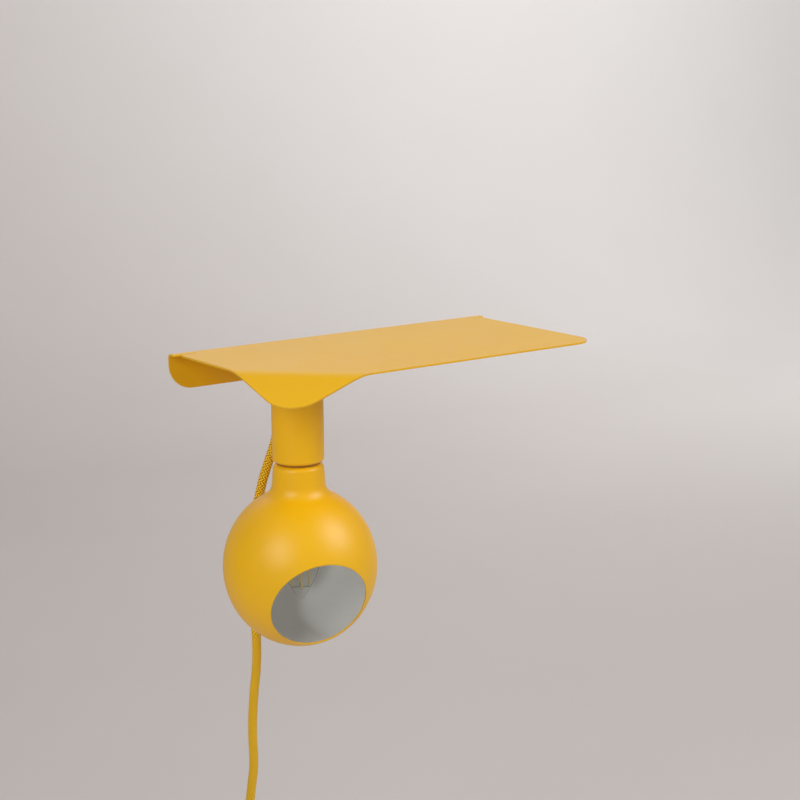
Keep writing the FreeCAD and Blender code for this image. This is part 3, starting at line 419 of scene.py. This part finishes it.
braid = new_finish("rayon braid, yellow")
uv = add(braid, "UVMap", uv_map="UVMap").outputs["UV"]
uv = add(braid, "SeparateXYZ", {"Vector": uv})
across = add(braid, "Math", {0: uv.outputs["X"], 1: float(carriers)}, operation="MULTIPLY")
along = add(braid, "Math", {0: uv.outputs["Y"], 1: yarn_pitch}, operation="DIVIDE")
right = add(braid, "Math", {0: across.outputs[0], 1: along.outputs[0]}, operation="ADD")
left = add(braid, "Math", {0: along.outputs[0], 1: across.outputs[0]}, operation="SUBTRACT")


def yarn_round(turn):
    """Height across a yarn that fills one unit of turn: |sin(pi * turn)|."""
    angle = add(braid, "Math", {0: turn.outputs[0], 1: math.pi}, operation="MULTIPLY")
    wave = add(braid, "Math", {0: angle.outputs[0]}, operation="SINE")
    return add(braid, "Math", {0: wave.outputs[0]}, operation="ABSOLUTE").outputs[0]


right_yarn = add(braid, "Math", {0: right.outputs[0]}, operation="FLOOR")
left_yarn = add(braid, "Math", {0: left.outputs[0]}, operation="FLOOR")
crossing = add(braid, "Math", {0: right_yarn.outputs[0], 1: left_yarn.outputs[0]}, operation="ADD")
crossing = add(braid, "Math", {0: crossing.outputs[0], 1: 1 / floats}, operation="MULTIPLY")
crossing = add(braid, "Math", {0: crossing.outputs[0]}, operation="FRACT")
left_on_top = add(braid, "Math", {0: crossing.outputs[0], 1: last_two}, operation="GREATER_THAN")
height = add(braid, "MixRGB", {"Fac": left_on_top.outputs[0], "Color1": yarn_round(right),
                               "Color2": yarn_round(left)})
# Painted light: the tops of the yarns are painted as highlight and the low places between them as shade.
painted_light_mask = add(braid, "MapRange", {"Value": height.outputs["Color"], "From Min": 0.2, "From Max": 0.8})
tone = add(braid, "MixRGB", {"Fac": painted_light_mask.outputs["Result"], "Color1": linear(painted_shade_brown),
                             "Color2": linear(painted_highlight_yellow)})
place = add(braid, "TexCoord").outputs["Object"]
fuzz = add(braid, "TexNoise", {"Vector": place, "Scale": 1 / fuzz_size, "Detail": 3.0})
tone = add(braid, "MixRGB", {"Fac": 0.12, "Color1": tone.outputs["Color"],
                             "Color2": fuzz.outputs["Color"]}, blend_type="OVERLAY")
relief = add(braid, "Bump", {"Height": height.outputs["Color"], "Strength": 0.8,
                             "Distance": 0.0004})
surface(braid, {"Base Color": tone.outputs["Color"], "Normal": relief.outputs["Normal"],
                "Roughness": 0.72, "Specular IOR Level": 0.25, "Sheen Weight": 0.08})
cord.data.materials.append(braid)
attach(cord, "lamp")
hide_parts("cord", "cord_lead", "cord_coil", "cord_tail")

# ---------------------------------------------------------------- coil tie
# Woven nylon band with hook and loop, 12 mm wide, wrapped once round the top of the coil. Its end
# climbs onto the first layer and laps it for a fifth of the way round.
tie_width = 0.012
tie_thickness = 0.0012
tie_thread = 0.0011          # real threads are about 0.3 mm; drawn coarser so that they show
tie_steps = 160              # points round one layer
climb_steps = 12
lap_steps = 34
tie_sides = 16               # points round the band's section
corner_power = 8
tie_low, tie_high = (np.array(corner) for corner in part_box("coil_tie"))


def tie_layer(grow):
    """Rounded oblong in the YZ plane, 'grow' outside the first layer's middle line: the superellipse
    y = sign(cos t) * |cos t| ^ (2 / power) * half height, and z likewise with sin t."""
    t = np.linspace(0, 2 * np.pi, tie_steps)
    half = (tie_high - tie_low) / 2 - tie_thickness / 2 + grow
    middle = (tie_high + tie_low) / 2
    y = np.sign(np.cos(t)) * np.abs(np.cos(t)) ** (2 / corner_power) * half[1]
    z = np.sign(np.sin(t)) * np.abs(np.sin(t)) ** (2 / corner_power) * half[2]
    return np.stack([np.full(tie_steps, middle[0]), middle[1] + y, middle[2] + z], axis=1)


first_layer = tie_layer(0.0)
second_layer = tie_layer(tie_thickness)
climb = np.linspace(0, 1, climb_steps)[:, None]
climb = climb * climb * (3 - 2 * climb)
first_layer[-climb_steps:] = (first_layer[-climb_steps:] * (1 - climb)
                              + second_layer[-climb_steps:] * climb)
tie_path = np.vstack([first_layer, second_layer[1:lap_steps]])

# The band's section is a superellipse with flat faces and rounded selvedges.
angle = np.linspace(0, 2 * np.pi, tie_sides, endpoint=False)
through = np.sign(np.cos(angle)) * np.abs(np.cos(angle)) ** 0.8 * tie_thickness / 2
across = np.sign(np.sin(angle)) * np.abs(np.sin(angle)) ** 0.5 * tie_width / 2
tie = sweep("woven_tie", tie_path, [1.0, 0.0, 0.0], np.stack([through, across], axis=1))

# Nylon webbing is matt black with a plain weave: a wave of scale 1 / (pi * thread) has about one
# band to a thread.
woven_nylon = new_finish("nylon webbing, black")
place = add(woven_nylon, "TexCoord").outputs["Object"]
warp, weft = (add(woven_nylon, "TexWave", {"Vector": place, "Scale": 1 / (math.pi * tie_thread)},
                  bands_direction=direction).outputs["Fac"] for direction in ("X", "Z"))
weave = add(woven_nylon, "Math", {0: warp, 1: weft}, operation="MULTIPLY")
colour = add(woven_nylon, "MixRGB", {"Fac": weave.outputs[0], "Color1": linear("#0E0E10"),
                                     "Color2": linear("#2A2A2D")})
relief = add(woven_nylon, "Bump", {"Height": weave.outputs[0], "Strength": 0.6, "Distance": 0.0003})
surface(woven_nylon, {"Base Color": colour.outputs["Color"], "Normal": relief.outputs["Normal"],
                      "Roughness": 0.85})
tie.data.materials.append(woven_nylon)
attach(tie, "lamp")
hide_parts("coil_tie")

# ---------------------------------------------------------------- room, light and camera
# Pale matt paper that turns up into a backdrop well behind the lamp. Its colour is painted light: paler
# towards the upper right and darker towards the lower left. The key stands at the right front, a second
# light at the left, a weak one behind and one on the backdrop, and a narrow spot lights the hollow of
# the shade through its mouth.
floor_level = -0.70
floor_front = -6.0
paper_half_width = 7.0
paper_top = 5.0
bend_start = 2.2
bend_radius = 1.2
bend_steps = 48
paper_fibre = 0.333
painted_light_slope = (0.35, 0.0, 0.6)       # painted light: the paper is paler towards the upper right
room_grey = "#E4E0DE"
room_light = 0.42
lamp_middle = (-0.05, -0.08, -0.1)

turn = np.linspace(0, np.pi / 2, bend_steps)
bend = np.stack([bend_start + bend_radius * np.sin(turn),
                 floor_level + bend_radius * (1 - np.cos(turn))], axis=1)
profile = np.vstack([[floor_front, floor_level], bend, [bend_start + bend_radius, paper_top]])
left_edge = np.column_stack([np.full(len(profile), -paper_half_width), profile])
right_edge = np.column_stack([np.full(len(profile), paper_half_width), profile])
row = np.arange(len(profile) - 1)
quads = np.stack([row, row + len(profile), row + 1 + len(profile), row + 1], axis=1)
mesh = bpy.data.meshes.new("studio_floor")
mesh.from_pydata(np.vstack([left_edge, right_edge]).tolist(), [], quads.tolist())
mesh.shade_smooth()
floor = bpy.data.objects.new("studio_floor", mesh)
bpy.context.scene.collection.objects.link(floor)

paper = new_finish("matt studio paper")
place = add(paper, "TexCoord").outputs["Object"]
fibre = add(paper, "TexNoise", {"Vector": place, "Scale": 1 / paper_fibre, "Detail": 2.0})
# Painted light: the paper's colour is graded paler towards the upper right and darker towards the lower
# left.
painted_light_tone = add(paper, "VectorMath", {0: place, 1: painted_light_slope}, operation="DOT_PRODUCT")
painted_light_tone = add(paper, "Math", {0: fibre.outputs["Fac"], 1: 0.2, 2: painted_light_tone.outputs["Value"]},
            operation="MULTIPLY_ADD")
painted_light_graded = add(paper, "MapRange", {"Value": painted_light_tone.outputs[0], "From Min": -0.4, "From Max": 2.0})
colour = add(paper, "MixRGB", {"Fac": painted_light_graded.outputs["Result"], "Color1": linear("#D6CECB"),
                               "Color2": linear("#FEFDFC")})
surface(paper, {"Base Color": colour.outputs["Color"], "Roughness": 0.9})
floor.data.materials.append(paper)

world = bpy.context.scene.world or bpy.data.worlds.new("room")
bpy.context.scene.world = world
world.use_nodes = True
feed(world.node_tree.nodes["Background"], {"Color": linear(room_grey), "Strength": room_light})
bpy.context.scene.view_settings.view_transform = "Standard"


def aimed_light(name, kind, source, target, power):
    """Light that stands at the source and shines at the target."""
    light = bpy.data.objects.new(name, bpy.data.lights.new(name, kind))
    bpy.context.scene.collection.objects.link(light)
    light.data.energy = power
    light.location = source
    light.rotation_euler = (Vector(target) - Vector(source)).to_track_quat("-Z", "Y").to_euler()
    return light


for name, source, target, diameter, power in (
        ("key", (1.0, -1.25, 1.15), lamp_middle, 1.25, 23.5),
        ("second", (-1.6, -0.7, 0.8), lamp_middle, 1.1, 13.8),
        ("behind", (0.3, 1.5, 1.1), lamp_middle, 1.5, 3.0),
        ("backdrop", (2.9, 1.0, 1.6), (3.0, 3.4, 0.6), 1.6, 36.0)):
    light = aimed_light(name, "AREA", source, target, power)
    light.data.shape = "DISK"
    light.data.size = diameter

mouth = aimed_light("mouth", "SPOT", (-0.95, -0.93, -0.02), (-0.095, -0.125, -0.182), 80.0)
mouth.data.spot_size = math.radians(8.5)
mouth.data.spot_blend = 1.0
mouth.data.shadow_soft_size = 0.2
mouth.visible_glossy = False         # the coat doesn't reflect it

# Camera found from the photograph's straight edges and ovals: yaw from +X towards +Y, pitch down.
camera_place = Vector((-0.7454, -1.1020, 0.2406))
yaw = math.radians(53.53)
pitch = math.radians(12.01)
roll = -0.0051
ahead = Vector((math.cos(yaw) * math.cos(pitch), math.sin(yaw) * math.cos(pitch), -math.sin(pitch)))
level = Vector((math.sin(yaw), -math.cos(yaw), 0.0))
upright = level.cross(ahead)
picture_right = level * math.cos(roll) + upright * math.sin(roll)
picture_up = upright * math.cos(roll) - level * math.sin(roll)
view_axes = Matrix((picture_right, picture_up, -ahead)).transposed().to_4x4()
camera = bpy.data.objects.new("camera", bpy.data.cameras.new("camera"))
camera.data.sensor_width = 36.0
camera.data.lens = 72.9
camera.matrix_world = Matrix.Translation(camera_place) @ view_axes
bpy.context.scene.collection.objects.link(camera)
bpy.context.scene.camera = camera
